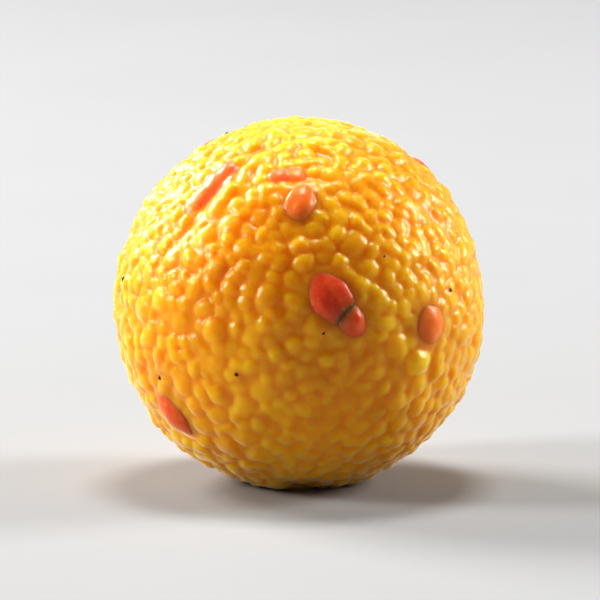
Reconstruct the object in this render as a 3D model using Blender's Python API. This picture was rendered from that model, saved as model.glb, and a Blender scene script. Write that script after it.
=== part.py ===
"""A boondi ladoo: one hand-rolled ball of small fried gram-flour pearls, pressed together with syrup.

The ball is one solid. Its surface is worked out as a distance from the ball's middle in every direction: a nearly
round ball with shallow palm dents and a few creases, covered by the domes of the pearls pressed into it. The ball
stands on a small flat spot in the plane Z = 0, and +Z is up. The front, towards -Y, has the named red pearls.
Sizes are in metres.
"""

import math
from typing import NamedTuple

import bmesh
import bpy
import numpy as np

MM = 0.001

# The ball. Its radius is measured to the tops of the pearls. The foot is how much of it is pressed flat, and what
# lies lower than the even height is flat with it.
BALL_RADIUS = 23.0 * MM
FOOT_DEPTH = 1.1 * MM
FOOT_EVEN = 0.06 * MM

# Places on the ball are named as seen from the front, this much above level: how far across to the right and how
# far up, both in ball radii. On the back they are seen from behind, with across still towards +X.
VIEW_TILT = math.radians(9.0)

# Shallow dents from the palms: across, up, side, depth, and spread in degrees.
PALM_DENTS = (
    (0.93, 0.26, "front", 0.50 * MM, 24.0),
    (-0.60, 0.66, "front", 0.40 * MM, 22.0),
    (0.10, -0.45, "front", 0.40 * MM, 26.0),
    (-0.70, -0.10, "back", 0.50 * MM, 28.0),
    (0.30, 0.55, "back", 0.45 * MM, 25.0),
    (0.55, -0.50, "back", 0.45 * MM, 24.0),
)

# Creases where the ball was folded shut: across and up of both ends, side, depth and half width.
CREASES = (
    (-0.63, 0.36, -0.19, 0.84, "front", 0.50 * MM, 0.75 * MM),
    (0.36, -0.16, 0.12, -0.62, "front", 0.40 * MM, 0.80 * MM),
    (0.55, 0.62, 0.86, 0.30, "front", 0.35 * MM, 0.80 * MM),
    (-0.62, 0.30, -0.20, 0.62, "back", 0.50 * MM, 0.80 * MM),
    (0.10, -0.15, 0.62, 0.10, "back", 0.40 * MM, 0.85 * MM),
    (-0.50, -0.62, -0.05, -0.48, "back", 0.40 * MM, 0.75 * MM),
)

# The pearls, by radius. Raising the share makes more of them small. A pearl's press is its dome's height over its
# radius, its overlap says how tightly the pearls are packed, and its lift says how unevenly deep they lie.
PEARL_COUNT = 560
SMALLEST_PEARL = 1.3 * MM
LARGEST_PEARL = 2.3 * MM
SMALL_SHARE = 2.0
PEARL_SCATTER = 0.03
PEARL_PRESS = 0.80
PEARL_OVERLAP = 0.86
PEARL_LIFT = 0.10 * MM
MOST_STRETCH = 1.35
SPREAD_ROUNDS = 24
SPREAD_STEP = 0.25
SEED = 7

# The syrup paste between the pearls lies this far below their tops, and their edges melt together this softly.
PASTE_DEPTH = 0.70 * MM
PEARL_BLEND = 0.03 * MM

# The red pearls that the front shows: across, up, half length, half width, turn in degrees and lift.
RED_PEARLS = (
    (0.17, 0.03, 3.4 * MM, 2.2 * MM, -60.0, 0.35 * MM),
    (0.30, -0.10, 1.7 * MM, 1.2 * MM, -55.0, 0.20 * MM),
    (0.00, 0.54, 2.4 * MM, 1.8 * MM, 65.0, 0.20 * MM),
    (-0.07, 0.69, 2.2 * MM, 1.5 * MM, 0.0, 0.10 * MM),
    (-0.39, 0.69, 2.2 * MM, 1.4 * MM, 42.0, 0.15 * MM),
    (-0.54, 0.55, 2.1 * MM, 1.1 * MM, 52.0, 0.10 * MM),
    (0.69, -0.11, 2.6 * MM, 2.4 * MM, 82.0, 0.15 * MM),
    (-0.67, -0.59, 3.1 * MM, 1.9 * MM, -65.0, 0.20 * MM),
)
# Yellow pearls that stand out, laid down in the same way.
PROUD_PEARLS = (
    (0.63, -0.30, 1.8 * MM, 1.7 * MM, 0.0, 0.40 * MM),
    (0.00, 0.30, 2.5 * MM, 1.9 * MM, 20.0, 0.20 * MM),
    (0.21, 0.22, 1.7 * MM, 1.4 * MM, 70.0, 0.20 * MM),
    (-0.19, -0.11, 1.8 * MM, 1.6 * MM, 40.0, 0.15 * MM),
    (0.43, 0.67, 1.9 * MM, 1.6 * MM, 0.0, 0.15 * MM),
    (0.15, -0.30, 1.6 * MM, 1.4 * MM, 0.0, 0.15 * MM),
)
# The red pearls of the back, one to each patch of it, and half the widths and lengths they range over.
BACK_REDS = 9
BACK_RED_WIDTHS = (1.4 * MM, 2.1 * MM)
BACK_RED_STRETCH = (1.1, 1.6)
# How much of a named pearl and of its neighbour may not share the surface.
NAMED_ROOM = 0.75
NEIGHBOUR_ROOM = 0.35

# The solid's mesh: a fine sphere is shaped first, and then thinned where it is nearly flat.
SPHERE_LEVEL = 7
TRIANGLES = 11600
DIRECTIONS_AT_ONCE = 4096
# A pearl this near to the ball's top or bottom takes its turn from the X axis, and any other from the Z axis.
NEAR_POLE = 0.9

BOONDI_COLOUR = (0.76, 0.33, 0.02, 1.0)
BOONDI_ROUGHNESS = 0.38


class Pearls(NamedTuple):
    """Many pearls as arrays: the direction of each, its half length and half width, its turn and its lift."""

    middles: np.ndarray
    lengths: np.ndarray
    widths: np.ndarray
    turns: np.ndarray
    lifts: np.ndarray


def unit(vectors):
    """The same vectors with a length of one."""
    return vectors / np.sqrt((vectors**2).sum(axis=-1, keepdims=True))


def facing(across, up, side="front"):
    """The direction of a place on the ball, named by how far across and up it is seen."""
    towards = math.sqrt(max(0.0, 1.0 - across**2 - up**2))
    if side == "back":
        towards = -towards
    return np.array(
        (
            across,
            up * math.sin(VIEW_TILT) - towards * math.cos(VIEW_TILT),
            up * math.cos(VIEW_TILT) + towards * math.sin(VIEW_TILT),
        )
    )


def angles_from(directions, middle):
    """The angle between each direction and one middle, in radians."""
    return np.arccos(np.clip(directions @ middle, -1.0, 1.0))


def spiral(count):
    """Directions spread evenly over the whole ball along a golden-angle spiral."""
    order = np.arange(count) + 0.5
    height = 1.0 - 2.0 * order / count
    turn = math.pi * (1.0 + math.sqrt(5.0)) * order
    ring = np.sqrt(1.0 - height**2)
    return np.stack((ring * np.cos(turn), ring * np.sin(turn), height), axis=1)


def spread_apart(directions, radii):
    """Pushes overlapping pearls apart along the ball, so that small and large ones share its surface."""
    wanted = (radii[:, None] + radii[None, :]) * PEARL_OVERLAP / BALL_RADIUS
    for _ in range(SPREAD_ROUNDS):
        gaps = directions[:, None, :] - directions[None, :, :]
        distance = np.sqrt((gaps**2).sum(axis=2)) + np.eye(len(radii))
        overlap = np.clip(wanted - distance, 0.0, None)
        np.fill_diagonal(overlap, 0.0)
        pushes = (gaps * (overlap / distance)[:, :, None]).sum(axis=1)
        directions = unit(directions + SPREAD_STEP * pushes)
    return directions


def pressed_pearls(draw):
    """The unnamed pearls, all over the ball."""
    directions = spiral(PEARL_COUNT)
    directions = unit(directions + draw.normal(0.0, PEARL_SCATTER, directions.shape))
    share = draw.random(PEARL_COUNT) ** SMALL_SHARE
    radii = SMALLEST_PEARL + (LARGEST_PEARL - SMALLEST_PEARL) * share
    stretch = np.sqrt(draw.uniform(1.0, MOST_STRETCH, PEARL_COUNT))
    turns = draw.uniform(0.0, math.pi, PEARL_COUNT)
    lifts = draw.normal(0.0, PEARL_LIFT, PEARL_COUNT)
    return Pearls(spread_apart(directions, radii), radii * stretch, radii / stretch, turns, lifts)


def named_pearls(rows):
    """The pearls of one table of named ones."""
    return Pearls(
        np.array([facing(across, up) for across, up, *_ in rows]),
        np.array([row[2] for row in rows]),
        np.array([row[3] for row in rows]),
        np.radians([row[4] for row in rows]),
        np.array([row[5] for row in rows]),
    )


def back_reds(draw):
    """The red pearls of the back: a coarse spiral gives each its patch, and a draw its shape."""
    middles = spiral(2 * BACK_REDS)
    middles = middles[np.argsort(middles[:, 1])][BACK_REDS:]
    widths = draw.uniform(*BACK_RED_WIDTHS, BACK_REDS)
    lengths = widths * draw.uniform(*BACK_RED_STRETCH, BACK_REDS)
    turns = draw.uniform(0.0, math.pi, BACK_REDS)
    lifts = np.abs(draw.normal(0.0, PEARL_LIFT, BACK_REDS))
    return Pearls(middles, lengths, widths, turns, lifts)


def joined(*groups):
    """Several groups of pearls as one."""
    return Pearls(*(np.concatenate(column) for column in zip(*groups)))


def all_pearls():
    """Every pearl of the surface. The named ones push their nearest neighbours out of it."""
    draw = np.random.default_rng(SEED)
    pressed = pressed_pearls(draw)
    named = joined(named_pearls(RED_PEARLS), named_pearls(PROUD_PEARLS), back_reds(draw))
    distance = BALL_RADIUS * np.arccos(np.clip(pressed.middles @ named.middles.T, -1.0, 1.0))
    room = NAMED_ROOM * (named.lengths + named.widths) / 2.0 + NEIGHBOUR_ROOM * pressed.lengths[:, None]
    kept = (distance > room).all(axis=1)
    return joined(Pearls(*(column[kept] for column in pressed)), named)


def crease_angles(directions, first, last):
    """The angle from each direction to the nearest point of the arc from first to last, in radians."""
    sideways = unit(last - first * (first @ last))
    full = math.atan2(last @ sideways, last @ first)
    along = np.clip(np.arctan2(directions @ sideways, directions @ first), 0.0, full)
    nearest = np.cos(along)[:, None] * first + np.sin(along)[:, None] * sideways
    return np.arccos(np.clip((directions * nearest).sum(axis=1), -1.0, 1.0))


def round_core(directions):
    """The ball's own radius in each direction: round, less the palm dents and the creases."""
    radius = np.full(len(directions), BALL_RADIUS)
    for across, up, side, depth, spread in PALM_DENTS:
        angles = angles_from(directions, facing(across, up, side))
        radius -= depth * np.exp(-((angles / math.radians(spread)) ** 2))
    for first_across, first_up, last_across, last_up, side, depth, half_width in CREASES:
        ends = facing(first_across, first_up, side), facing(last_across, last_up, side)
        angles = crease_angles(directions, *ends)
        radius -= depth * np.exp(-((angles * BALL_RADIUS / half_width) ** 2))
    return radius


def pearl_relief(directions, pearls):
    """How far the pearls' tops stand above or below the ball's own radius. Each dome is a flattened ellipsoid cap,
    and the soft maximum of all of them and the paste is the log of a sum of exponentials."""
    poles = np.where(np.abs(pearls.middles[:, 2:]) < NEAR_POLE, ((0.0, 0.0, 1.0),), ((1.0, 0.0, 0.0),))
    east = unit(np.cross(poles, pearls.middles))
    north = np.cross(pearls.middles, east)
    along = np.cos(pearls.turns)[:, None] * east + np.sin(pearls.turns)[:, None] * north
    aside = np.cross(pearls.middles, along)
    depths = PEARL_PRESS * np.sqrt(pearls.lengths * pearls.widths)
    relief = np.empty(len(directions))
    for first in range(0, len(directions), DIRECTIONS_AT_ONCE):
        some = directions[first : first + DIRECTIONS_AT_ONCE]
        reach = (some @ along.T * BALL_RADIUS / pearls.lengths) ** 2
        reach += (some @ aside.T * BALL_RADIUS / pearls.widths) ** 2
        dome = np.sqrt(np.clip(1.0 - reach, 0.0, 1.0)) - 1.0
        height = pearls.lifts + depths * (dome - np.clip(reach - 1.0, 0.0, None))
        height = np.where(some @ pearls.middles.T > 0.0, height, -np.inf)
        total = np.exp(height / PEARL_BLEND).sum(axis=1) + math.exp(-PASTE_DEPTH / PEARL_BLEND)
        relief[first : first + DIRECTIONS_AT_ONCE] = PEARL_BLEND * np.log(total)
    return relief


def boondi_material():
    """Golden fried gram flour with a moist shine."""
    material = bpy.data.materials.new("boondi")
    material.use_nodes = True
    shader = material.node_tree.nodes["Principled BSDF"]
    shader.inputs["Base Color"].default_value = BOONDI_COLOUR
    shader.inputs["Roughness"].default_value = BOONDI_ROUGHNESS
    shader.inputs["Metallic"].default_value = 0.0
    material.diffuse_color = BOONDI_COLOUR
    return material


def flatten_foot(ladoo):
    """Thins the ball, and then evens out its foot, which thinning leaves a few hundredths of a millimetre uneven."""
    thinned = bpy.data.meshes.new_from_object(ladoo.evaluated_get(bpy.context.evaluated_depsgraph_get()))
    points = np.empty(len(thinned.vertices) * 3)
    thinned.vertices.foreach_get("co", points)
    points[2::3] = np.where(points[2::3] < FOOT_EVEN, 0.0, points[2::3])
    thinned.vertices.foreach_set("co", points)
    thinned.update()
    ladoo.modifiers.clear()
    ladoo.data = thinned


def make_ladoo(collection):
    """The ball: a fine sphere moved out to the surface, pressed flat where it stands, and thinned."""
    mesh = bpy.data.meshes.new("ladoo")
    sphere = bmesh.new()
    bmesh.ops.create_icosphere(sphere, subdivisions=SPHERE_LEVEL, radius=1.0)
    sphere.to_mesh(mesh)
    sphere.free()

    points = np.empty(len(mesh.vertices) * 3)
    mesh.vertices.foreach_get("co", points)
    directions = unit(points.reshape(-1, 3))
    radius = round_core(directions) + pearl_relief(directions, all_pearls())
    points = directions * radius[:, None]
    points[:, 2] = np.maximum(points[:, 2] + BALL_RADIUS - FOOT_DEPTH, 0.0)
    mesh.vertices.foreach_set("co", points.ravel())
    mesh.update()
    mesh.materials.append(boondi_material())

    ladoo = bpy.data.objects.new("ladoo", mesh)
    collection.objects.link(ladoo)
    thin = ladoo.modifiers.new("thin", "DECIMATE")
    thin.ratio = TRIANGLES / len(mesh.polygons)
    flatten_foot(ladoo)


def main():
    for leftover in list(bpy.data.objects):
        bpy.data.objects.remove(leftover, do_unlink=True)
    collection = bpy.data.collections.new("boondi_ladoo")
    bpy.context.scene.collection.children.link(collection)
    make_ladoo(collection)


main()
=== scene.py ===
"""A boondi ladoo with its looks: a ball of small golden fried pearls, some red ones and cardamom specks.

The file is laid out as an add-on and run as a script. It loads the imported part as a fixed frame, lays the
detailed ball over the part's one solid, and puts it on a plain pale stage. Sizes are in metres, +Z is up,
and the front of the ball faces -Y.
"""

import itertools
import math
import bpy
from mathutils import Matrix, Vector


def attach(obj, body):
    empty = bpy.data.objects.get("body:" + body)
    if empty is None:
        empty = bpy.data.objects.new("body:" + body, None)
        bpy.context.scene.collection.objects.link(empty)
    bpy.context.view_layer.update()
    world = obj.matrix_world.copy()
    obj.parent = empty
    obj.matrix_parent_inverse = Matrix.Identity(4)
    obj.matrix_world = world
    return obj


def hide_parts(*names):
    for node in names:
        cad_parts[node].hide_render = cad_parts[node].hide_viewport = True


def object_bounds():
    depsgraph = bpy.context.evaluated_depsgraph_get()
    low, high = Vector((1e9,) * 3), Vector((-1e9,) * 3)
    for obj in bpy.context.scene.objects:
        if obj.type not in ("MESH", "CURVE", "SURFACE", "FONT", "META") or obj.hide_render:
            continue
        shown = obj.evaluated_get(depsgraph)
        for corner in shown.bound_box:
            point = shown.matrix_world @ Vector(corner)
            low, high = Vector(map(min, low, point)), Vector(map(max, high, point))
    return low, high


bl_info = {
    "name": "Boondi Ladoo",
    "version": (1, 0, 0),
    "blender": (4, 5, 0),
    "location": "3D View > Sidebar > Ladoo",
    "description": "Builds a ladoo of small golden pearls with red pearls and cardamom on a plain stage",
    "category": "Add Mesh",
}

from typing import NamedTuple

import bpy
import numpy as np
from mathutils import Vector

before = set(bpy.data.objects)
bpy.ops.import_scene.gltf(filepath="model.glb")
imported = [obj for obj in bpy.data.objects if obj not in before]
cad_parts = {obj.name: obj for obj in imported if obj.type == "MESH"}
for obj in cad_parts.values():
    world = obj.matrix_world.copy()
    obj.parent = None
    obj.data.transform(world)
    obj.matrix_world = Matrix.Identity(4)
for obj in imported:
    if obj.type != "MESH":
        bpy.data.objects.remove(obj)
CAD_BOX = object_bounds()

MM = 0.001
BALL_RADIUS = 23.0 * MM

# Places on the ball are named as seen from the front, this much above level: across and up, in ball radii.
VIEW_TILT = math.radians(9.0)

# Shallow dents from the palms: across, up, side, depth, and spread in degrees.
PALM_DENTS = (
    (0.93, 0.26, "front", 0.50 * MM, 24.0),
    (-0.60, 0.66, "front", 0.40 * MM, 22.0),
    (0.10, -0.45, "front", 0.40 * MM, 26.0),
    (-0.70, -0.10, "back", 0.50 * MM, 28.0),
    (0.30, 0.55, "back", 0.45 * MM, 25.0),
    (0.55, -0.50, "back", 0.45 * MM, 24.0),
)

# Creases where the ball was folded shut: across and up of both ends, side, depth and half width.
CREASES = (
    (-0.63, 0.36, -0.19, 0.84, "front", 0.50 * MM, 0.75 * MM),
    (0.36, -0.16, 0.12, -0.62, "front", 0.40 * MM, 0.80 * MM),
    (0.55, 0.62, 0.86, 0.30, "front", 0.35 * MM, 0.80 * MM),
    (-0.62, 0.30, -0.20, 0.62, "back", 0.50 * MM, 0.80 * MM),
    (0.10, -0.15, 0.62, 0.10, "back", 0.40 * MM, 0.85 * MM),
    (-0.50, -0.62, -0.05, -0.48, "back", 0.40 * MM, 0.75 * MM),
)

# The larger pearls, drawn as the part's solid draws them.
PEARL_COUNT = 560
SMALLEST_PEARL = 1.3 * MM
LARGEST_PEARL = 2.3 * MM
SMALL_SHARE = 2.0
PEARL_SCATTER = 0.03
PEARL_OVERLAP = 0.86
PEARL_LIFT = 0.10 * MM
MOST_STRETCH = 1.35
SPREAD_ROUNDS = 24
SPREAD_STEP = 0.25
SEED = 7

# The red pearls that the front shows: across, up, half length, half width, turn in degrees and lift.
RED_PEARLS = (
    (0.17, 0.03, 3.7 * MM, 2.7 * MM, -60.0, 0.65 * MM),
    (0.262, -0.075, 2.5 * MM, 1.8 * MM, -55.0, 0.50 * MM),
    (0.00, 0.54, 2.7 * MM, 2.0 * MM, 65.0, 0.50 * MM),
    (0.69, -0.11, 2.8 * MM, 2.6 * MM, 82.0, 0.50 * MM),
    (-0.67, -0.59, 3.3 * MM, 2.1 * MM, -65.0, 0.45 * MM),
)
# How orange each of them is. For the upper and the right one this is partly their own orange and partly
# painted highlight, which makes them paler.
RED_ORANGE_AND_HIGHLIGHT = (0.0, 0.15, 0.85, 0.90, 0.3)
# The red pearls of the back: how many, their half widths, how much longer they are, how much larger and
# higher they are here than in the part's solid, and how orange.
BACK_REDS = 9
BACK_RED_WIDTHS = (1.4 * MM, 2.1 * MM)
BACK_RED_STRETCH = (1.1, 1.6)
BACK_SWELL = 1.10
BACK_LIFT = 0.10 * MM
BACK_ORANGE = (0.0, 0.5)
# Flush pearls that only took some of the red colour, laid down in the same way.
STAINED_PEARLS = (
    (-0.11, 0.68, 1.4 * MM, 1.2 * MM, 10.0, 0.15 * MM),
    (-0.02, 0.69, 1.3 * MM, 1.1 * MM, 0.0, 0.10 * MM),
    (-0.40, 0.71, 2.5 * MM, 1.7 * MM, 120.0, 0.15 * MM),
    (-0.47, 0.66, 2.3 * MM, 1.7 * MM, 125.0, 0.15 * MM),
    (-0.53, 0.60, 1.8 * MM, 1.5 * MM, 130.0, 0.12 * MM),
    (-0.59, 0.53, 1.4 * MM, 1.2 * MM, 135.0, 0.10 * MM),
)
# How red each of them is.
STAINS = (0.90, 0.80, 0.85, 0.80, 0.75, 0.60)
# Yellow pearls that stand out, laid down in the same way. The first is the brightest.
PROUD_PEARLS = (
    (0.63, -0.31, 2.7 * MM, 2.1 * MM, 0.0, 0.50 * MM),
    (0.00, 0.31, 1.9 * MM, 1.7 * MM, 20.0, 0.25 * MM),
    (0.21, 0.22, 1.6 * MM, 1.4 * MM, 70.0, 0.20 * MM),
    (-0.19, -0.11, 1.6 * MM, 1.5 * MM, 40.0, 0.15 * MM),
    (0.43, 0.67, 1.8 * MM, 1.6 * MM, 0.0, 0.20 * MM),
    (0.15, -0.30, 1.6 * MM, 1.4 * MM, 0.0, 0.15 * MM),
)
# How much higher these dome than the others, and the tint of the brightest. The others run from 0 to 1.
PROUD_DOME = 2.2
BRIGHT_TINT = 1.6
# The room that the larger pearls leave round the named ones: shares of the named one's size and their own.
NAMED_ROOM = 0.75
NEIGHBOUR_ROOM = 0.35
# How far from the middle of a red, stained or brightest pearl the others keep, in its half widths.
CLEAR_OF_LARGE = 1.25
CLEAR_OF_SMALL = 1.12

# The small pearls between the larger ones: how unevenly they are spread, their half widths, the room between
# them as a share of both sizes, how much longer than wide they are, and their lift with its spread.
SMALL_SCATTER = 0.02
SMALL_RADII = (0.85 * MM, 1.20 * MM)
SMALL_ROOM = 0.66
SMALL_STRETCH = 1.3
SMALL_LIFT = -0.08 * MM
SMALL_LIFT_SPREAD = 0.08 * MM

# Dark specks: across, up and half width.
CARDAMOM = (
    (-0.94, 0.134, 0.34 * MM),
    (-0.335, -0.37, 0.30 * MM),
    (0.123, -0.153, 0.26 * MM),
    (0.80, 0.075, 0.22 * MM),
    (0.44, 0.25, 0.20 * MM),
    (-0.74, -0.39, 0.24 * MM),
)
# The specks of the back: how many, and their half widths. Then how unevenly these are spread.
BACK_SPECKS = 12
SPECK_WIDTHS = (0.18 * MM, 0.34 * MM)
SPECK_SCATTER = 0.15
# For all specks: how slim they are, how far out they lie, and how far they turn per ball radius, in degrees.
SPECK_SLIMNESS = 0.7
SPECK_LIFT = 0.05 * MM
SPECK_TURN = 90.0

# The form of a dome: the powers of its outline, how full it is, and how far past its rim it is worked out.
DOME_POWERS = (1.9, 2.3)
DOME_FULLNESS = 0.65
DOME_REACH = 1.6
# How widely neighbouring domes melt together, where they are crisp and where they are smeared, and the tint
# of the paste between them.
CRISP_BLEND = 0.085 * MM
SOFT_BLEND = 0.20 * MM
PASTE_TINT = 0.5
# The layers of noise that bend the domes' outlines: height, size and seed.
WARPS = ((0.16 * MM, 1.6 * MM, 40), (0.11 * MM, 0.75 * MM, 44))
# The ragged edge of a stain: its noise, and the cover where the stain starts and where it is full.
STAIN_EDGE = ((0.35, 0.8 * MM, 48),)
STAIN_STARTS = 0.35
STAIN_FULL = 0.75

# Patches that the palms smeared: their noise, and where it starts and is full.
SMEAR_PATCHES = ((1.0, 11.0 * MM, 50), (0.5, 4.5 * MM, 51))
SMEAR_STARTS = -0.15
SMEAR_FULL = 0.55
# Fine lumps all over.
LUMPS = ((0.06 * MM, 1.4 * MM, 52), (0.045 * MM, 0.7 * MM, 53), (0.20 * MM, 4.2 * MM, 55))
# Wrinkles in the smeared patches: the turn of their grain, its stretch, and their size, seed and height.
GRAIN = ((0.8, 0.6, 0.0), (-0.15, 0.2, 0.97), (0.58, -0.77, 0.25))
GRAIN_STRETCH = (1.0, 0.28, 1.0)
WRINKLE_SIZE = 1.5 * MM
WRINKLE_SEED = 54
WRINKLE_HEIGHT = 0.03 * MM
# Creases: how much narrower than its groove the smooth band is, the depth where it is full, and how far it
# levels the pearls and deepens the colour there as painted shade.
BAND_NARROWING = 1.6
BAND_DEPTH = 0.45 * MM
BAND_LEVELLING = 0.45
BAND_SHADE = 0.7
# The ball's surface under and round a red lump: how far below the lump its pearl lies, with its tint, stain
# and dome, the distances in half widths where the level collar ends and is full, the collar's level and
# strength, and how far it smooths the fine lumps.
RED_SUNK = 0.62 * MM
UNDER_RED = (0.5, 0.7, 1.0)
COLLAR_ENDS = 1.40
COLLAR_FULL = 0.95
COLLAR_LEVEL = -0.06 * MM
COLLAR_STRENGTH = 0.65
COLLAR_SMOOTHING = 0.8
# Painted shade in the crevices between pearls: the relief where it starts, how much deeper it is full, and
# how much the lumps count.
CREVICE_SHADE_STARTS = -0.06 * MM
CREVICE_SHADE_DEPTH = 0.36 * MM
CREVICE_SHADE_LUMPS = 0.5

# Lumps swell and shrink by layers of noise: a share of their roughness, a size in half widths, and a step on
# from their seed. Each lump is this much further along in the noise.
SWELLS = ((1.0, 0.9, 0), (0.55, 0.42, 1), (0.12, 0.20, 2))
NOISE_STRIDE = 7.0

# Colours that the pearls' own colours are mixed with.
PALE_GOLD = (0.93, 0.51, 0.005)
BRIGHT_YELLOW = (0.95, 0.54, 0.010)
# Painted shade: the deeper orange of the crevices between pearls and of the crease bands.
CREVICE_SHADE_ORANGE = (0.80, 0.30, 0.001)
BLED_ORANGE = (0.86, 0.19, 0.010)
# The stains' red: the dye's own colour, made paler and pinker as painted highlight.
STAIN_RED_AND_HIGHLIGHT = (0.86, 0.17, 0.060)
WORN_RED = (0.84, 0.14, 0.035)
# The orange that the red pearls are mixed towards: their own orange, and on the upper and right ones partly
# painted highlight.
ORANGE_RED_AND_HIGHLIGHT = (0.94, 0.25, 0.030)
PALE_RED = (0.86, 0.26, 0.10)
PALE_HUSK = (0.12, 0.07, 0.025)
WARM_SHEEN = (1.0, 0.86, 0.70, 1.0)
# How much more orange the ball's left rim is than its middle.
LEFT_ORANGE = 0.09
# The wet film of syrup over all pearls.
WET_FILM = {"IOR": 1.40, "Specular_IOR_Level": 0.05, "Coat_Roughness": 0.32, "Coat_IOR": 1.34}

# The floor and backdrop: the flat part's radius, the bend's radius, the wall's top, and the grid.
FLOOR_FLAT = 1.9
FLOOR_BEND = 0.6
WALL_TOP = 2.6
FLOOR_STEPS = 20
FLOOR_COLUMNS = 128
# Soft lights: name, place, width and height in metres, and watts.
LIGHTS = (
    ("key_left", (-1.20, -0.15, 0.60), (0.32, 0.36), 17.0),
    ("rim_left", (-0.95, 0.80, 0.84), (0.64, 0.60), 29.0),
    ("rim_right", (1.15, 0.30, 0.58), (0.45, 0.55), 18.0),
    ("top", (0.05, 0.25, 1.22), (0.34, 0.34), 11.5),
)
AIR_GLOW = 0.06
PICTURE_GAMMA = 0.85
CLIP_NEAR = 0.01
CLIP_FAR = 10.0

# Corners along each side of the noise's lattice.
LATTICE = 32
# The height from which a direction counts as near the pole.
NEAR_POLE = 0.9


class Finish(NamedTuple):
    """How each pearl of a group looks: its tint, how far red stained it, and how much higher it domes."""

    tints: np.ndarray
    stains: np.ndarray
    domes: np.ndarray


class LumpStyle(NamedTuple):
    """How a group of lumps is made: rows and columns of its grid, thickness, roughness and seed."""

    rows: int
    columns: int
    thickness: float
    rough: float
    seed: int


RED_LUMPS = LumpStyle(rows=40, columns=60, thickness=0.56, rough=0.09, seed=80)
SPECK_LUMPS = LumpStyle(rows=8, columns=12, thickness=0.9, rough=0.3, seed=90)


class Pearls(NamedTuple):
    """Many pearls as arrays: each one's direction, half length, half width, turn and lift."""

    middles: np.ndarray
    lengths: np.ndarray
    widths: np.ndarray
    turns: np.ndarray
    lifts: np.ndarray


# Settings


class BallSettings(bpy.types.PropertyGroup):
    """Sizes of the ball and of its pearls."""

    radius: bpy.props.FloatProperty(
        name="Radius", description="From the ball's middle to the tops of its pearls",
        default=BALL_RADIUS, min=0.0, subtype="DISTANCE", unit="LENGTH",
    )
    foot: bpy.props.FloatProperty(
        name="Foot", description="How much of the ball is pressed flat where it stands",
        default=1.1 * MM, min=0.0, subtype="DISTANCE", unit="LENGTH",
    )
    cells: bpy.props.IntProperty(
        name="Cells", description="Grid cells along each of the six patches that cover the ball",
        default=128, min=8, max=128,
    )
    shrink: bpy.props.FloatProperty(
        name="Pearl Size", description="Size of the larger pearls next to the part's own bumps",
        default=0.84, min=0.4, max=1.0, subtype="FACTOR",
    )
    press: bpy.props.FloatProperty(
        name="Dome Height", description="Height of a pearl's dome next to its half width",
        default=0.38, min=0.1, max=1.2, subtype="FACTOR",
    )
    paste: bpy.props.FloatProperty(
        name="Paste Depth", description="How far below the pearls' tops the syrup paste lies",
        default=0.46 * MM, min=0.0, subtype="DISTANCE", unit="LENGTH",
    )
    small_tries: bpy.props.IntProperty(
        name="Small Pearl Places", description="Places tried for the small pearls between the larger ones",
        default=9000, min=0,
    )
    smear: bpy.props.FloatProperty(
        name="Smear", description="How far the palms smeared the pearls together in the smoother patches",
        default=0.30, min=0.0, max=1.0, subtype="FACTOR",
    )


class ColourSettings(bpy.types.PropertyGroup):
    """Colours of the pearls and specks."""

    golden: bpy.props.FloatVectorProperty(
        name="Golden", description="Fried gram flour where it is most yellow",
        default=(0.87, 0.45, 0.0015), size=3, min=0.0, max=1.0, subtype="COLOR",
    )
    orange: bpy.props.FloatVectorProperty(
        name="Orange", description="Fried gram flour where it is most orange",
        default=(0.86, 0.36, 0.0010), size=3, min=0.0, max=1.0, subtype="COLOR",
    )
    red: bpy.props.FloatVectorProperty(
        name="Red", description="The pearls with red food colour",
        default=(0.74, 0.070, 0.016), size=3, min=0.0, max=1.0, subtype="COLOR",
    )
    cardamom: bpy.props.FloatVectorProperty(
        name="Cardamom", description="The dark specks",
        default=(0.035, 0.022, 0.010), size=3, min=0.0, max=1.0, subtype="COLOR",
    )


class StageSettings(bpy.types.PropertyGroup):
    """The floor, the camera and the lights."""

    floor: bpy.props.FloatVectorProperty(
        name="Floor", description="Colour of the floor and the round backdrop",
        default=(0.335, 0.335, 0.335), size=3, min=0.0, max=1.0, subtype="COLOR",
    )
    elevation: bpy.props.FloatProperty(
        name="Elevation", description="How far above level the camera stands",
        default=VIEW_TILT, subtype="ANGLE", unit="ROTATION",
    )
    distance: bpy.props.FloatProperty(
        name="Camera Distance", description="From the camera to the ball's middle",
        default=0.66, min=0.05, subtype="DISTANCE", unit="LENGTH",
    )
    lens: bpy.props.FloatProperty(
        name="Lens", description="Focal length in millimetres", default=322.0, min=1.0,
    )
    brightness: bpy.props.FloatProperty(
        name="Brightness", description="Strength of all the lights together",
        default=1.0, min=0.0, subtype="FACTOR",
    )


# Directions, noise and pearls


def unit(vectors):
    """The same vectors with a length of one."""
    return vectors / np.sqrt((vectors**2).sum(axis=-1, keepdims=True))


def facing(across, up, side="front"):
    """The direction of a place on the ball, named by how far across and up it is seen."""
    towards = math.sqrt(max(0.0, 1.0 - across**2 - up**2))
    if side == "back":
        towards = -towards
    return np.array(
        (
            across,
            up * math.sin(VIEW_TILT) - towards * math.cos(VIEW_TILT),
            up * math.cos(VIEW_TILT) + towards * math.sin(VIEW_TILT),
        )
    )


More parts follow.
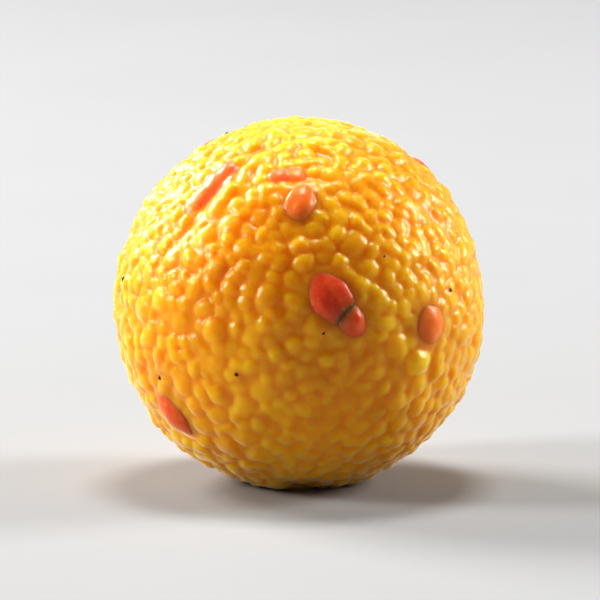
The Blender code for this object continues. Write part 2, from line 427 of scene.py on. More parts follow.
def lattice_noise(points, cell, seed):
    """Smooth noise between -1 and 1: random values on the corners of a cubic lattice, blended between them
    along a curve that starts and ends level (6 t to the 5th, less 15 t to the 4th, plus 10 t cubed)."""
    values = np.random.default_rng(seed).uniform(-1.0, 1.0, (LATTICE, LATTICE, LATTICE))
    scaled = points / cell
    base = np.floor(scaled).astype(int)
    part = scaled - base
    part = part**3 * (part * (part * 6.0 - 15.0) + 10.0)
    total = np.zeros(len(points))
    for corner in itertools.product((0, 1), repeat=3):
        weight = np.where(corner, part, 1.0 - part).prod(axis=1)
        at = (base + corner) % LATTICE
        total += weight * values[at[:, 0], at[:, 1], at[:, 2]]
    return total


def layered_noise(points, layers):
    """Several noises added up, each with its height, size and seed."""
    return sum(height * lattice_noise(points, cell, seed) for height, cell, seed in layers)


def noise_vectors(points, cell, seed):
    """Three noises as one vector for each point."""
    return np.stack([lattice_noise(points, cell, seed + axis) for axis in range(3)], axis=1)


def spiral(count):
    """Directions spread evenly over the whole ball along a golden-angle spiral."""
    order = np.arange(count) + 0.5
    height = 1.0 - 2.0 * order / count
    turn = math.pi * (1.0 + math.sqrt(5.0)) * order
    ring = np.sqrt(1.0 - height**2)
    return np.stack((ring * np.cos(turn), ring * np.sin(turn), height), axis=1)


def spread_apart(directions, radii, ball_radius):
    """Pushes overlapping pearls apart along the ball, so that small and large ones share its surface."""
    wanted = (radii[:, None] + radii[None, :]) * PEARL_OVERLAP / ball_radius
    for _ in range(SPREAD_ROUNDS):
        gaps = directions[:, None, :] - directions[None, :, :]
        distance = np.sqrt((gaps**2).sum(axis=2)) + np.eye(len(radii))
        overlap = np.clip(wanted - distance, 0.0, None)
        np.fill_diagonal(overlap, 0.0)
        pushes = (gaps * (overlap / distance)[:, :, None]).sum(axis=1)
        directions = unit(directions + SPREAD_STEP * pushes)
    return directions


def pressed_pearls(draw, ball_radius):
    """The unnamed larger pearls, all over the ball."""
    directions = spiral(PEARL_COUNT)
    directions = unit(directions + draw.normal(0.0, PEARL_SCATTER, directions.shape))
    share = draw.random(PEARL_COUNT) ** SMALL_SHARE
    radii = SMALLEST_PEARL + (LARGEST_PEARL - SMALLEST_PEARL) * share
    stretch = np.sqrt(draw.uniform(1.0, MOST_STRETCH, PEARL_COUNT))
    turns = draw.uniform(0.0, math.pi, PEARL_COUNT)
    lifts = draw.normal(0.0, PEARL_LIFT, PEARL_COUNT)
    middles = spread_apart(directions, radii, ball_radius)
    return Pearls(middles, radii * stretch, radii / stretch, turns, lifts)


def named_pearls(rows):
    """The pearls of one table of named ones."""
    return Pearls(
        np.array([facing(across, up) for across, up, *_ in rows]),
        np.array([row[2] for row in rows]),
        np.array([row[3] for row in rows]),
        np.radians([row[4] for row in rows]),
        np.array([row[5] for row in rows]),
    )


def back_reds(draw):
    """The red pearls of the back: a coarse spiral gives each its patch, and a draw its shape."""
    middles = spiral(2 * BACK_REDS)
    middles = middles[np.argsort(middles[:, 1])][BACK_REDS:]
    widths = draw.uniform(*BACK_RED_WIDTHS, BACK_REDS)
    lengths = widths * draw.uniform(*BACK_RED_STRETCH, BACK_REDS)
    turns = draw.uniform(0.0, math.pi, BACK_REDS)
    lifts = np.abs(draw.normal(0.0, PEARL_LIFT, BACK_REDS))
    return Pearls(middles, lengths, widths, turns, lifts)


def joined(*groups):
    """Several groups of pearls as one."""
    return Pearls(*(np.concatenate(column) for column in zip(*groups)))


def chosen(pearls, which):
    """Some of the pearls."""
    return Pearls(*(column[which] for column in pearls))


def ring_around(directions, pearls, ball_radius):
    """How many half widths or half lengths each direction is away from the middle of its nearest pearl."""
    along, aside = tangents(pearls)
    ratio = (directions @ along.T * ball_radius / pearls.lengths) ** 2
    ratio += (directions @ aside.T * ball_radius / pearls.widths) ** 2
    ratio[directions @ pearls.middles.T < 0.0] = np.inf
    return np.sqrt(ratio.min(axis=1))


def small_pearls(draw, larger, tries, ball_radius):
    """Small pearls for the gaps between the larger ones: places tried in turn, each kept if it has room."""
    middles = unit(spiral(tries) + draw.normal(0.0, SMALL_SCATTER, (tries, 3)))
    radii = draw.uniform(*SMALL_RADII, tries)
    order = draw.permutation(tries)
    taken = larger.middles
    reach = (larger.lengths + larger.widths) / 2.0
    kept = []
    for place in order:
        distance = ball_radius * np.sqrt(((taken - middles[place]) ** 2).sum(axis=1))
        if (distance > SMALL_ROOM * (reach + radii[place])).all():
            kept.append(place)
            taken = np.concatenate((taken, middles[place : place + 1]))
            reach = np.append(reach, radii[place])
    kept = np.array(kept)
    stretch = np.sqrt(draw.uniform(1.0, SMALL_STRETCH, len(kept)))
    turns = draw.uniform(0.0, math.pi, len(kept))
    lifts = draw.normal(SMALL_LIFT, SMALL_LIFT_SPREAD, len(kept))
    return Pearls(middles[kept], radii[kept] * stretch, radii[kept] / stretch, turns, lifts)


def pearl_groups(ball):
    """The pearls of the whole surface: the red lumps, and the others with their finish."""
    draw = np.random.default_rng(SEED)
    pressed = pressed_pearls(draw, ball.radius)
    back = back_reds(draw)
    back = back._replace(
        lengths=BACK_SWELL * back.lengths, widths=BACK_SWELL * back.widths, lifts=back.lifts + BACK_LIFT
    )
    red = joined(named_pearls(RED_PEARLS), back)
    stained = named_pearls(STAINED_PEARLS)
    proud = named_pearls(PROUD_PEARLS)
    named = joined(red, stained, proud)
    distance = ball.radius * np.arccos(np.clip(pressed.middles @ named.middles.T, -1.0, 1.0))
    room = NAMED_ROOM * (named.lengths + named.widths) / 2.0 + NEIGHBOUR_ROOM * pressed.lengths[:, None]
    pressed = chosen(pressed, (distance > room).all(axis=1))
    clear = joined(red, stained, chosen(proud, slice(0, 1)))
    pressed = chosen(pressed, ring_around(pressed.middles, clear, ball.radius) > CLEAR_OF_LARGE)
    pressed = pressed._replace(lengths=pressed.lengths * ball.shrink, widths=pressed.widths * ball.shrink)
    small = small_pearls(draw, joined(pressed, named), ball.small_tries, ball.radius)
    small = chosen(small, ring_around(small.middles, clear, ball.radius) > CLEAR_OF_SMALL)
    others = joined(stained, proud, pressed, small)
    tints = draw.random(len(others.middles))
    tints[len(STAINS)] = BRIGHT_TINT
    stains = np.zeros(len(others.middles))
    stains[: len(STAINS)] = STAINS
    domes = np.ones(len(others.middles))
    domes[len(STAINS) : len(STAINS) + len(PROUD_PEARLS)] = PROUD_DOME
    return red, others, Finish(tints, stains, domes)


def tangents(pearls):
    """Along and aside, the two directions in the surface that each pearl's length and width follow."""
    poles = np.where(np.abs(pearls.middles[:, 2:]) < NEAR_POLE, ((0.0, 0.0, 1.0),), ((1.0, 0.0, 0.0),))
    east = unit(np.cross(poles, pearls.middles))
    north = np.cross(pearls.middles, east)
    along = np.cos(pearls.turns)[:, None] * east + np.sin(pearls.turns)[:, None] * north
    return along, np.cross(pearls.middles, along)


# The ball's surface


def crease_angles(directions, first, last):
    """The angle from each direction to the nearest point of the arc from first to last, in radians."""
    sideways = unit(last - first * (first @ last))
    full = math.atan2(last @ sideways, last @ first)
    along = np.clip(np.arctan2(directions @ sideways, directions @ first), 0.0, full)
    nearest = np.cos(along)[:, None] * first + np.sin(along)[:, None] * sideways
    return np.arccos(np.clip((directions * nearest).sum(axis=1), -1.0, 1.0))


def crease_depths(directions, ball_radius):
    """How deep the creases go in each direction: each is a bell-shaped groove along its arc."""
    depths = np.zeros(len(directions))
    for first_across, first_up, last_across, last_up, side, depth, half_width in CREASES:
        angles = crease_angles(
            directions, facing(first_across, first_up, side), facing(last_across, last_up, side)
        )
        depths += depth * np.exp(-((angles * ball_radius / half_width) ** 2))
    return depths


def round_core(directions, ball_radius):
    """The ball's own radius in each direction: round, less the creases and the bell-shaped palm dents."""
    radius = np.full(len(directions), ball_radius)
    for across, up, side, depth, spread in PALM_DENTS:
        angles = np.arccos(np.clip(directions @ facing(across, up, side), -1.0, 1.0))
        radius -= depth * np.exp(-((angles / math.radians(spread)) ** 2))
    return radius - crease_depths(directions, ball_radius)


def cube_sphere(cells):
    """Directions and four-sided faces of a closed ball made of six square patches. A patch's two parameters
    run from -45 to 45 degrees, and a direction is its outward axis plus their tangents along its sides."""
    side = np.tan(np.linspace(-math.pi / 4.0, math.pi / 4.0, cells + 1))
    across, up = np.meshgrid(side, side, indexing="ij")
    corner = (np.arange(cells)[:, None] * (cells + 1) + np.arange(cells)[None, :]).ravel()
    cell = np.stack((corner, corner + cells + 1, corner + cells + 2, corner + 1), axis=1)
    directions = []
    faces = []
    for patch, (axis, sign) in enumerate(itertools.product(range(3), (1.0, -1.0))):
        outward = np.roll((sign, 0.0, 0.0), axis)
        first = np.roll((0.0, 1.0, 0.0), axis)
        second = np.cross(outward, first)
        square = outward + across[..., None] * first + up[..., None] * second
        directions.append(unit(square.reshape(-1, 3)))
        faces.append(cell + patch * (cells + 1) ** 2)
    directions = np.concatenate(directions)
    _, first_use, welded = np.unique(
        np.round(directions, 6), axis=0, return_index=True, return_inverse=True
    )
    return directions[first_use], welded.ravel()[np.concatenate(faces)]


def press_into(directions, pearls, finish, ball):
    """Lays every pearl's dome on the ball. The reach is the sum of the powered distances along and aside,
    and is one at the rim. A dome's height is its lift, less its depth times what a power of one minus the
    reach lacks to one, and past the rim it falls straight on with the reach. The crisp and soft reliefs are
    soft maxima of all domes and the paste: the log of a sum of exponentials. The tint and the stain are the
    pearls' own, weighted in the same way, and the stain has a ragged edge."""
    draw = np.random.default_rng(SEED + 1)
    powers = draw.uniform(*DOME_POWERS, len(pearls.middles))
    along, aside = tangents(pearls)
    depths = ball.press * finish.domes * np.sqrt(pearls.lengths * pearls.widths)
    places = directions * ball.radius
    warp = sum(height * noise_vectors(places, cell, seed) for height, cell, seed in WARPS)
    spots = directions + warp / ball.radius
    crisp = np.full(len(directions), math.exp(-ball.paste / CRISP_BLEND))
    soft = np.full(len(directions), math.exp(-ball.paste / SOFT_BLEND))
    tint = crisp * PASTE_TINT
    red = np.zeros(len(directions))
    cover = np.full(len(directions), 1e-9)
    for index, middle in enumerate(pearls.middles):
        limit = math.cos(DOME_REACH * pearls.lengths[index] / ball.radius)
        near = np.nonzero(directions @ middle > limit)[0]
        spot = spots[near]
        reach = np.abs(spot @ along[index] * ball.radius / pearls.lengths[index]) ** powers[index]
        reach += np.abs(spot @ aside[index] * ball.radius / pearls.widths[index]) ** powers[index]
        dome = np.clip(1.0 - reach, 0.0, 1.0) ** DOME_FULLNESS - 1.0 - np.clip(reach - 1.0, 0.0, None)
        height = pearls.lifts[index] + depths[index] * dome
        share = np.exp(height / CRISP_BLEND)
        crisp[near] += share
        tint[near] += share * finish.tints[index]
        red[near] += share * finish.stains[index]
        cover[near] += share * (finish.stains[index] > 0.0)
        soft[near] += np.exp(height / SOFT_BLEND)
    edge = eased(cover / crisp + layered_noise(places, STAIN_EDGE), STAIN_STARTS, STAIN_FULL)
    return CRISP_BLEND * np.log(crisp), SOFT_BLEND * np.log(soft), tint / crisp, edge * red / cover


def eased(values, low, high):
    """From 0 below low to 1 above high, along a smooth step."""
    share = np.clip((values - low) / (high - low), 0.0, 1.0)
    return share * share * (3.0 - 2.0 * share)


def standing(directions, radius, ball):
    """Points at each direction's radius, with the ball moved up onto its foot and pressed flat there."""
    points = directions * radius[:, None]
    points[:, 2] = np.maximum(points[:, 2] + ball.radius - ball.foot, 0.0)
    return points


def ball_surface(ball):
    """The ball's points, faces and attributes. The radius in a direction is the round core, plus the crisp
    relief of the pearls, mixed towards the soft relief where palms smeared them and in creases, and levelled
    in a collar round the red lumps, plus fine lumps and wrinkles."""
    red, others, finish = pearl_groups(ball)
    directions, faces = cube_sphere(ball.cells)
    places = directions * ball.radius
    sunk_red = red._replace(lifts=red.lifts - RED_SUNK)
    under_red = (np.full(len(red.middles), value) for value in UNDER_RED)
    finish = Finish(*(np.concatenate(pair) for pair in zip(finish, under_red)))
    crisp, soft, tint, stain = press_into(directions, joined(others, sunk_red), finish, ball)
    soft -= np.mean(soft) - np.mean(crisp)
    creased = np.clip(crease_depths(directions, BAND_NARROWING * ball.radius) / BAND_DEPTH, 0.0, 1.0)
    smear = ball.smear * eased(layered_noise(places, SMEAR_PATCHES), SMEAR_STARTS, SMEAR_FULL)
    collar = eased(-ring_around(directions, red, ball.radius), -COLLAR_ENDS, -COLLAR_FULL)
    relief = crisp + (soft - crisp) * np.maximum(smear, creased)
    relief *= 1.0 - BAND_LEVELLING * creased
    relief -= COLLAR_STRENGTH * collar * (relief - COLLAR_LEVEL)
    along_grain = (places @ np.array(GRAIN).T) * GRAIN_STRETCH
    wrinkle = 1.0 - 2.0 * np.abs(lattice_noise(along_grain, WRINKLE_SIZE, WRINKLE_SEED))
    lumps = layered_noise(places, LUMPS) + WRINKLE_HEIGHT * smear * wrinkle
    lumps *= 1.0 - COLLAR_SMOOTHING * collar
    radius = round_core(directions, ball.radius) + relief + lumps
    # Painted shade: the crevices between pearls and the crease bands get a deeper colour, as shade falls
    # there.
    crevice_shade = (CREVICE_SHADE_STARTS - relief - CREVICE_SHADE_LUMPS * lumps) / CREVICE_SHADE_DEPTH + BAND_SHADE * creased
    attributes = {
        "pearl_tint": tint,
        "crevice_shade": np.clip(crevice_shade, 0.0, 1.0),
        "red_bleed": collar,
        "red_stain": stain,
    }
    return standing(directions, radius, ball), faces, attributes


# Small separate lumps


def globe(rows, columns):
    """Directions and faces of a closed ball of rows of latitude by columns of longitude, with one point at
    each pole."""
    down = np.linspace(0.0, math.pi, rows + 1)[1:-1]
    round_turn = np.arange(columns) * 2.0 * math.pi / columns
    ring = np.stack(
        (
            np.sin(down)[:, None] * np.cos(round_turn)[None, :],
            np.sin(down)[:, None] * np.sin(round_turn)[None, :],
            np.repeat(np.cos(down)[:, None], columns, axis=1),
        ),
        axis=2,
    ).reshape(-1, 3)
    directions = np.concatenate((((0.0, 0.0, 1.0),), ring, ((0.0, 0.0, -1.0),)))
    here = np.arange(columns)
    after = (here + 1) % columns
    rings = 1 + np.arange(rows - 1) * columns
    top = [(0, 1 + a, 1 + b) for a, b in zip(here, after)]
    last = len(directions) - 1
    bottom = [(last, rings[-1] + b, rings[-1] + a) for a, b in zip(here, after)]
    sides = [
        (upper + a, lower + a, lower + b, upper + b)
        for upper, lower in zip(rings[:-1], rings[1:])
        for a, b in zip(here, after)
    ]
    return directions, top + sides + bottom


def lumps_on_ball(pearls, ball, style):
    """Closed lumps at the pearls' places. A point is the lump's middle, plus its direction's three parts
    times the lump's half length, half width and half thickness, swollen by noise and bent round the ball."""
    shape, faces = globe(style.rows, style.columns)
    along, aside = tangents(pearls)
    core = round_core(pearls.middles, ball.radius)
    points = []
    every_face = []
    for index, middle in enumerate(pearls.middles):
        length, width = pearls.lengths[index], pearls.widths[index]
        high = style.thickness * width
        swell = np.ones(len(shape))
        for share, cell, step in SWELLS:
            noise = lattice_noise(shape + NOISE_STRIDE * index, cell, style.seed + step)
            swell += share * style.rough * noise
        local = shape * swell[:, None]
        middle_out = core[index] + pearls.lifts[index] - high
        bend = (local[:, 0] * length) ** 2 + (local[:, 1] * width) ** 2
        out = middle_out + local[:, 2] * high - bend / (2.0 * ball.radius)
        at = middle * out[:, None] + along[index] * (local[:, :1] * length)
        at += aside[index] * (local[:, 1:2] * width)
        every_face.extend(tuple(corner + len(points) * len(shape) for corner in face) for face in faces)
        points.append(at)
    points = np.concatenate(points)
    points[:, 2] = np.maximum(points[:, 2] + ball.radius - ball.foot, 0.0)
    return points, every_face


# Meshes and materials


def make_piece(name, points, faces, material, attributes=None):
    """A smooth mesh object that rides on the part's body and takes its finish from one slot."""
    mesh = bpy.data.meshes.new(name)
    mesh.from_pydata(points.tolist(), [], faces.tolist() if isinstance(faces, np.ndarray) else faces)
    mesh.polygons.foreach_set("use_smooth", np.ones(len(mesh.polygons), dtype=bool))
    for title, values in (attributes or {}).items():
        mesh.attributes.new(title, "FLOAT", "POINT").data.foreach_set("value", values.astype(np.float32))
    mesh.materials.append(material)
    mesh.update()
    piece = bpy.data.objects.new(name, mesh)
    bpy.context.scene.collection.objects.link(piece)
    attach(piece, "root")
    return piece


class Nodes:
    """A short way to place shader nodes and link them."""

    def __init__(self, name):
        self.material = bpy.data.materials.new(name)
        self.material.use_nodes = True
        self.tree = self.material.node_tree
        self.shader = self.tree.nodes["Principled BSDF"]

    def add(self, kind, **settings):
        """A new node with some of its settings."""
        node = self.tree.nodes.new(kind)
        for title, value in settings.items():
            setattr(node, title, value)
        return node

    def put(self, socket, value):
        """Sets a socket to a number or colour, or links it to another socket."""
        if isinstance(value, bpy.types.NodeSocket):
            self.tree.links.new(value, socket)
        elif isinstance(value, (tuple, list)) and len(value) == 3 and socket.type == "RGBA":
            socket.default_value = (*value, 1.0)
        else:
            socket.default_value = value

    def attribute(self, name):
        """The values of one of the mesh's attributes."""
        return self.add("ShaderNodeAttribute", attribute_name=name).outputs["Fac"]

    def sideways(self):
        """How far the place is to the right on the piece's own coordinates, in metres."""
        apart = self.add("ShaderNodeSeparateXYZ")
        self.tree.links.new(self.add("ShaderNodeTexCoord").outputs["Object"], apart.inputs["Vector"])
        return apart.outputs["X"]

    def noise(self, size, detail=3.0, roughness=0.5, distortion=0.0):
        """Noise whose features are about this size, in metres, on the piece's own coordinates."""
        node = self.add("ShaderNodeTexNoise")
        place = self.add("ShaderNodeTexCoord")
        self.tree.links.new(place.outputs["Object"], node.inputs["Vector"])
        node.inputs["Scale"].default_value = 1.0 / size
        node.inputs["Detail"].default_value = detail
        node.inputs["Roughness"].default_value = roughness
        node.inputs["Distortion"].default_value = distortion
        return node.outputs["Fac"]

    def ramp(self, value, low, high, to_low=0.0, to_high=1.0):
        """The value moved from one range to another, and held at its ends."""
        node = self.add("ShaderNodeMapRange", interpolation_type="SMOOTHSTEP")
        self.put(node.inputs["Value"], value)
        node.inputs["From Min"].default_value = low
        node.inputs["From Max"].default_value = high
        node.inputs["To Min"].default_value = to_low
        node.inputs["To Max"].default_value = to_high
        return node.outputs["Result"]

    def maths(self, operation, first, second):
        """Two values put together by one operation."""
        node = self.add("ShaderNodeMath", operation=operation)
        self.put(node.inputs[0], first)
        self.put(node.inputs[1], second)
        return node.outputs[0]

    def mix(self, share, first, second):
        """Two colours mixed by a share."""
        node = self.add("ShaderNodeMix", data_type="RGBA")
        self.put(node.inputs["Factor"], share)
        self.put(node.inputs[6], first)
        self.put(node.inputs[7], second)
        return node.outputs[2]

    def bump(self, height, strength, distance, below=None):
        """A normal that leans with the height, on top of another one if it is given."""
        node = self.add("ShaderNodeBump")
        node.inputs["Strength"].default_value = strength
        node.inputs["Distance"].default_value = distance
        self.put(node.inputs["Height"], height)
        if below is not None:
            self.put(node.inputs["Normal"], below)
        return node.outputs["Normal"]

    def finish(self, colour, roughness, normal, **constants):
        """The material, with the shader's colour, roughness, normal and constant values set."""
        self.put(self.shader.inputs["Base Color"], colour)
        self.put(self.shader.inputs["Roughness"], roughness)
        self.put(self.shader.inputs["Normal"], normal)
        for title, value in constants.items():
            self.shader.inputs[title.replace("_", " ")].default_value = value
        return self.material


def scaled_colour(colour, share):
    """A colour made lighter or darker."""
    return tuple(min(1.0, part * share) for part in colour)


def boondi_material(colours):
    """Golden fried gram flour soaked in syrup: each pearl has its own tint, patches are more orange, the
    crevices and crease bands are deeper in colour as painted shade, and a thin wet film lies over it all."""
    nodes = Nodes("moist_boondi")
    golden, orange = tuple(colours.golden), tuple(colours.orange)
    sideways = nodes.maths("MULTIPLY", nodes.sideways(), -LEFT_ORANGE / BALL_RADIUS)
    cloud = nodes.noise(16.0 * MM, detail=2.0, distortion=0.4)
    patch = nodes.ramp(nodes.maths("ADD", cloud, sideways), low=0.36, high=0.64)
    colour = nodes.mix(patch, golden, orange)
    tint = nodes.attribute("pearl_tint")
    colour = nodes.mix(nodes.ramp(tint, low=0.55, high=1.0, to_high=0.35), colour, PALE_GOLD)
    colour = nodes.mix(nodes.ramp(tint, low=1.0, high=1.5, to_high=0.8), colour, BRIGHT_YELLOW)
    darker = nodes.ramp(tint, low=0.45, high=0.0, to_high=0.40)
    colour = nodes.mix(darker, colour, scaled_colour(orange, 0.80))
    mottle = nodes.noise(1.1 * MM, detail=4.0, roughness=0.6)
    lighter = nodes.ramp(mottle, low=0.45, high=0.75, to_high=0.30)
    colour = nodes.mix(lighter, colour, scaled_colour(golden, 1.12))
    # Painted shade: the crevices and crease bands mixed towards a deeper orange.
    painted_shade = nodes.maths("MULTIPLY", nodes.attribute("crevice_shade"), 0.42)
    colour = nodes.mix(painted_shade, colour, CREVICE_SHADE_ORANGE)
    bled = nodes.maths("MULTIPLY", nodes.attribute("red_bleed"), 0.55)
    colour = nodes.mix(bled, colour, BLED_ORANGE)
    # Red stains, in a colour that is partly painted highlight.
    colour = nodes.mix(nodes.attribute("red_stain"), colour, STAIN_RED_AND_HIGHLIGHT)
    worn = nodes.noise(2.2 * MM, roughness=0.6)
    rough = nodes.ramp(worn, low=0.3, high=0.7, to_low=0.30, to_high=0.45)
    fine = nodes.bump(nodes.noise(0.32 * MM, roughness=0.6), strength=0.40, distance=0.05 * MM)
    film = nodes.bump(nodes.noise(0.8 * MM, detail=2.0), strength=0.35, distance=0.12 * MM, below=fine)
    nodes.put(nodes.shader.inputs["Coat Normal"], film)
    return nodes.finish(
        colour, rough, fine,
        Subsurface_Weight=1.0, Subsurface_Radius=(1.0, 0.50, 0.10), Subsurface_Scale=6.0 * MM,
        Sheen_Weight=0.9, Sheen_Roughness=0.30, Sheen_Tint=WARM_SHEEN, Coat_Weight=1.0, **WET_FILM,
    )


def red_material(colours):
    """Red fried gram flour: deep red with paler, pinker wear, and the same wet film."""
    nodes = Nodes("moist_red_boondi")
    red = tuple(colours.red)
    patch = nodes.ramp(nodes.noise(2.0 * MM, roughness=0.6), low=0.35, high=0.68)
    colour = nodes.mix(patch, red, WORN_RED)
    # Mixed towards orange: the pearls' own orange, and on the upper and right front ones partly painted
    # highlight.
    colour = nodes.mix(nodes.attribute("orange_and_highlight_share"), colour, ORANGE_RED_AND_HIGHLIGHT)
    speckle = nodes.ramp(nodes.noise(0.55 * MM, roughness=0.6), low=0.55, high=0.75, to_high=0.5)
    colour = nodes.mix(speckle, colour, PALE_RED)
    worn = nodes.noise(1.2 * MM, roughness=0.6)
    rough = nodes.ramp(worn, low=0.3, high=0.7, to_low=0.28, to_high=0.48)
    normal = nodes.bump(nodes.noise(0.45 * MM, roughness=0.6), strength=0.35, distance=0.08 * MM)
    return nodes.finish(
        colour, rough, normal,
        Subsurface_Weight=0.9, Subsurface_Radius=(1.0, 0.25, 0.12), Subsurface_Scale=2.2 * MM,
        Coat_Weight=0.9, **WET_FILM,
    )


def cardamom_material(colours):
    """Dark brown husk with paler flecks."""
    nodes = Nodes("cardamom_husk")
    dark = tuple(colours.cardamom)
    flecks = nodes.ramp(nodes.noise(0.25 * MM), low=0.4, high=0.7)
    colour = nodes.mix(flecks, dark, PALE_HUSK)
    normal = nodes.bump(nodes.noise(0.15 * MM), strength=0.4, distance=0.04 * MM)
    return nodes.finish(colour, roughness=0.5, normal=normal, Coat_Weight=0.3, Coat_Roughness=0.2)


def floor_material(stage):
    """Pale matt studio paper with the faintest mottle."""
    nodes = Nodes("studio_paper")
    pale = tuple(stage.floor)
    mottle = nodes.ramp(nodes.noise(60.0 * MM), low=0.3, high=0.7)
    colour = nodes.mix(mottle, pale, scaled_colour(pale, 0.985))
    normal = nodes.bump(nodes.noise(0.8 * MM), strength=0.05, distance=0.05 * MM)
    return nodes.finish(colour, roughness=0.75, normal=normal)


# Operators


class LADOO_OT_ball(bpy.types.Operator):
    """Makes the ball of golden pearls and lets it stand for the part's solid"""

    bl_idname = "ladoo.make_ball"
    bl_label = "Make Ball"

    def execute(self, context):
        ball = context.scene.ladoo_ball
        points, faces, attributes = ball_surface(ball)
        material = boondi_material(context.scene.ladoo_colours)
        piece = make_piece("boondi_ball", points, faces, material, attributes)
        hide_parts("ladoo")
        return {"FINISHED"}


class LADOO_OT_red_pearls(bpy.types.Operator):
    """Makes the red pearls"""

    bl_idname = "ladoo.make_red_pearls"
    bl_label = "Make Red Pearls"

    def execute(self, context):
        ball = context.scene.ladoo_ball
        red, *_ = pearl_groups(ball)
        points, faces = lumps_on_ball(red, ball, RED_LUMPS)
        draw = np.random.default_rng(SEED + 4)
        # Orange shares; those of the upper and right front red pearls are partly painted highlight.
        shares = np.concatenate((RED_ORANGE_AND_HIGHLIGHT, draw.uniform(*BACK_ORANGE, BACK_REDS)))
        attributes = {"orange_and_highlight_share": np.repeat(shares, len(points) // len(shares))}
        material = red_material(context.scene.ladoo_colours)
        make_piece("red_pearls", points, faces, material, attributes)
        return {"FINISHED"}


class LADOO_OT_cardamom(bpy.types.Operator):
    """Makes the dark specks of cardamom"""

    bl_idname = "ladoo.make_cardamom"
    bl_label = "Make Cardamom"

    def execute(self, context):
        ball = context.scene.ladoo_ball
        draw = np.random.default_rng(SEED + 3)
        rows = [
            (across, up, half, half * SPECK_SLIMNESS, SPECK_TURN * across, SPECK_LIFT)
            for across, up, half in CARDAMOM
        ]
        middles = unit(spiral(2 * BACK_SPECKS) + draw.normal(0.0, SPECK_SCATTER, (2 * BACK_SPECKS, 3)))
        middles = middles[np.argsort(middles[:, 1])][BACK_SPECKS:]
        halves = draw.uniform(*SPECK_WIDTHS, BACK_SPECKS)
        turns = draw.uniform(0.0, math.pi, BACK_SPECKS)
        lifts = np.full(BACK_SPECKS, SPECK_LIFT)
        back = Pearls(middles, halves, halves * SPECK_SLIMNESS, turns, lifts)
        points, faces = lumps_on_ball(joined(named_pearls(rows), back), ball, SPECK_LUMPS)
        make_piece("cardamom", points, faces, cardamom_material(context.scene.ladoo_colours))
        return {"FINISHED"}


def add_light(name, place, target, size, watts):
    """A soft light of this width and height that the camera doesn't see."""
    light = bpy.data.lights.new(name, "AREA")
    light.shape = "RECTANGLE"
    light.size, light.size_y = size
    light.energy = watts
    lamp = bpy.data.objects.new(name, light)
    lamp.location = place
    lamp.rotation_mode = "QUATERNION"
    lamp.rotation_quaternion = (Vector(target) - Vector(place)).to_track_quat("-Z", "Y")
    lamp.visible_camera = False
    bpy.context.scene.collection.objects.link(lamp)


def backdrop_surface(flat, curve, height, steps, columns):
    """A round floor whose edge curves up into a wall: a profile of radius and height, turned about Z."""
    bend = np.linspace(0.0, math.pi / 2.0, steps)
    outward = np.linspace(0.0, flat, steps)[1:]
    radii = np.concatenate((outward, flat + curve * np.sin(bend)[1:], (flat + curve,)))
    heights = np.concatenate((np.zeros(steps - 1), curve * (1.0 - np.cos(bend))[1:], (height,)))
    turn = np.arange(columns) * 2.0 * math.pi / columns
    ring = np.stack(
        (
            radii[:, None] * np.cos(turn)[None, :],
            radii[:, None] * np.sin(turn)[None, :],
            np.repeat(heights[:, None], columns, axis=1),
        ),
        axis=2,
    ).reshape(-1, 3)
    points = np.concatenate((((0.0, 0.0, 0.0),), ring))
    here = np.arange(columns)
    after = (here + 1) % columns
    starts = 1 + np.arange(len(radii)) * columns
    faces = [(0, 1 + a, 1 + b) for a, b in zip(here, after)]
    faces += [
        (inner + a, outer + a, outer + b, inner + b)
        for inner, outer in zip(starts[:-1], starts[1:])
        for a, b in zip(here, after)
    ]
    return points, faces


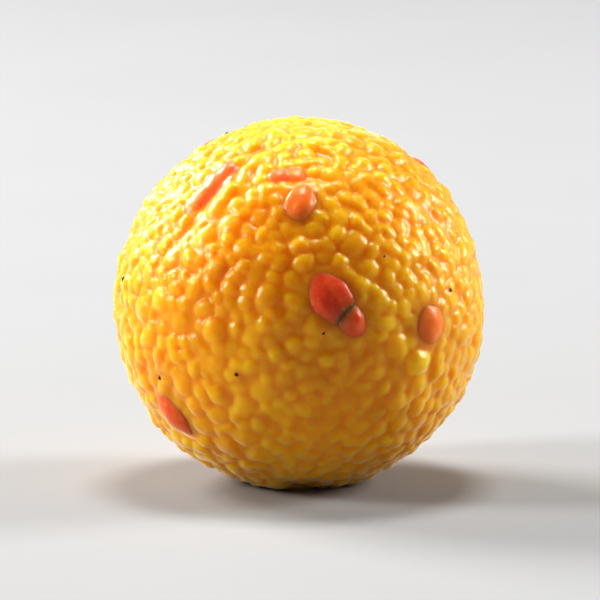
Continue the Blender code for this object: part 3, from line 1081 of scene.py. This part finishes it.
class LADOO_OT_stage(bpy.types.Operator):
    """Makes the floor, the camera and the soft studio lights"""

    bl_idname = "ladoo.make_stage"
    bl_label = "Make Stage"

    def execute(self, context):
        scene = context.scene
        stage = scene.ladoo_stage
        points, faces = backdrop_surface(FLOOR_FLAT, FLOOR_BEND, WALL_TOP, FLOOR_STEPS, FLOOR_COLUMNS)
        mesh = bpy.data.meshes.new("floor")
        mesh.from_pydata(points.tolist(), [], faces)
        mesh.polygons.foreach_set("use_smooth", np.ones(len(mesh.polygons), dtype=bool))
        mesh.materials.append(floor_material(stage))
        floor = bpy.data.objects.new("floor", mesh)
        scene.collection.objects.link(floor)

        middle = Vector((0.0, 0.0, (CAD_BOX[0].z + CAD_BOX[1].z) / 2.0))
        back = Vector((0.0, -math.cos(stage.elevation), math.sin(stage.elevation)))
        camera = bpy.data.objects.new("camera", bpy.data.cameras.new("camera"))
        camera.data.lens = stage.lens
        camera.data.clip_start = CLIP_NEAR
        camera.data.clip_end = CLIP_FAR
        camera.location = middle + back * stage.distance
        camera.rotation_mode = "QUATERNION"
        camera.rotation_quaternion = (-back).to_track_quat("-Z", "Y")
        scene.collection.objects.link(camera)
        scene.camera = camera

        power = stage.brightness
        for name, place, size, watts in LIGHTS:
            add_light(name, place, middle, size, watts * power)
        world = bpy.data.worlds.new("studio_air")
        world.use_nodes = True
        air = world.node_tree.nodes["Background"]
        air.inputs["Color"].default_value = (1.0, 1.0, 1.0, 1.0)
        air.inputs["Strength"].default_value = AIR_GLOW * power
        scene.world = world
        scene.view_settings.view_transform = "Standard"
        scene.view_settings.gamma = PICTURE_GAMMA
        return {"FINISHED"}


class LADOO_PT_panel(bpy.types.Panel):
    """The ladoo's settings and makers"""

    bl_idname = "LADOO_PT_panel"
    bl_label = "Boondi Ladoo"
    bl_space_type = "VIEW_3D"
    bl_region_type = "UI"
    bl_category = "Ladoo"

    def draw(self, context):
        layout = self.layout
        for title, group in SETTINGS.items():
            box = layout.box()
            settings = getattr(context.scene, title)
            for name in group.__annotations__:
                box.prop(settings, name)
        for operator in OPERATORS:
            layout.operator(operator.bl_idname)


SETTINGS = {"ladoo_ball": BallSettings, "ladoo_colours": ColourSettings, "ladoo_stage": StageSettings}
OPERATORS = (
    LADOO_OT_ball,
    LADOO_OT_red_pearls,
    LADOO_OT_cardamom,
    LADOO_OT_stage,
)


def register():
    """Adds the settings, the operators and the panel."""
    for title, group in SETTINGS.items():
        bpy.utils.register_class(group)
        setattr(bpy.types.Scene, title, bpy.props.PointerProperty(type=group))
    for operator in OPERATORS:
        bpy.utils.register_class(operator)
    bpy.utils.register_class(LADOO_PT_panel)


def unregister():
    """Takes them away again."""
    bpy.utils.unregister_class(LADOO_PT_panel)
    for operator in reversed(OPERATORS):
        bpy.utils.unregister_class(operator)
    for title, group in SETTINGS.items():
        delattr(bpy.types.Scene, title)
        bpy.utils.unregister_class(group)


def main():
    """Makes every piece and the stage."""
    register()
    bpy.ops.ladoo.make_ball()
    bpy.ops.ladoo.make_red_pearls()
    bpy.ops.ladoo.make_cardamom()
    bpy.ops.ladoo.make_stage()


if __name__ == "__main__":
    main()
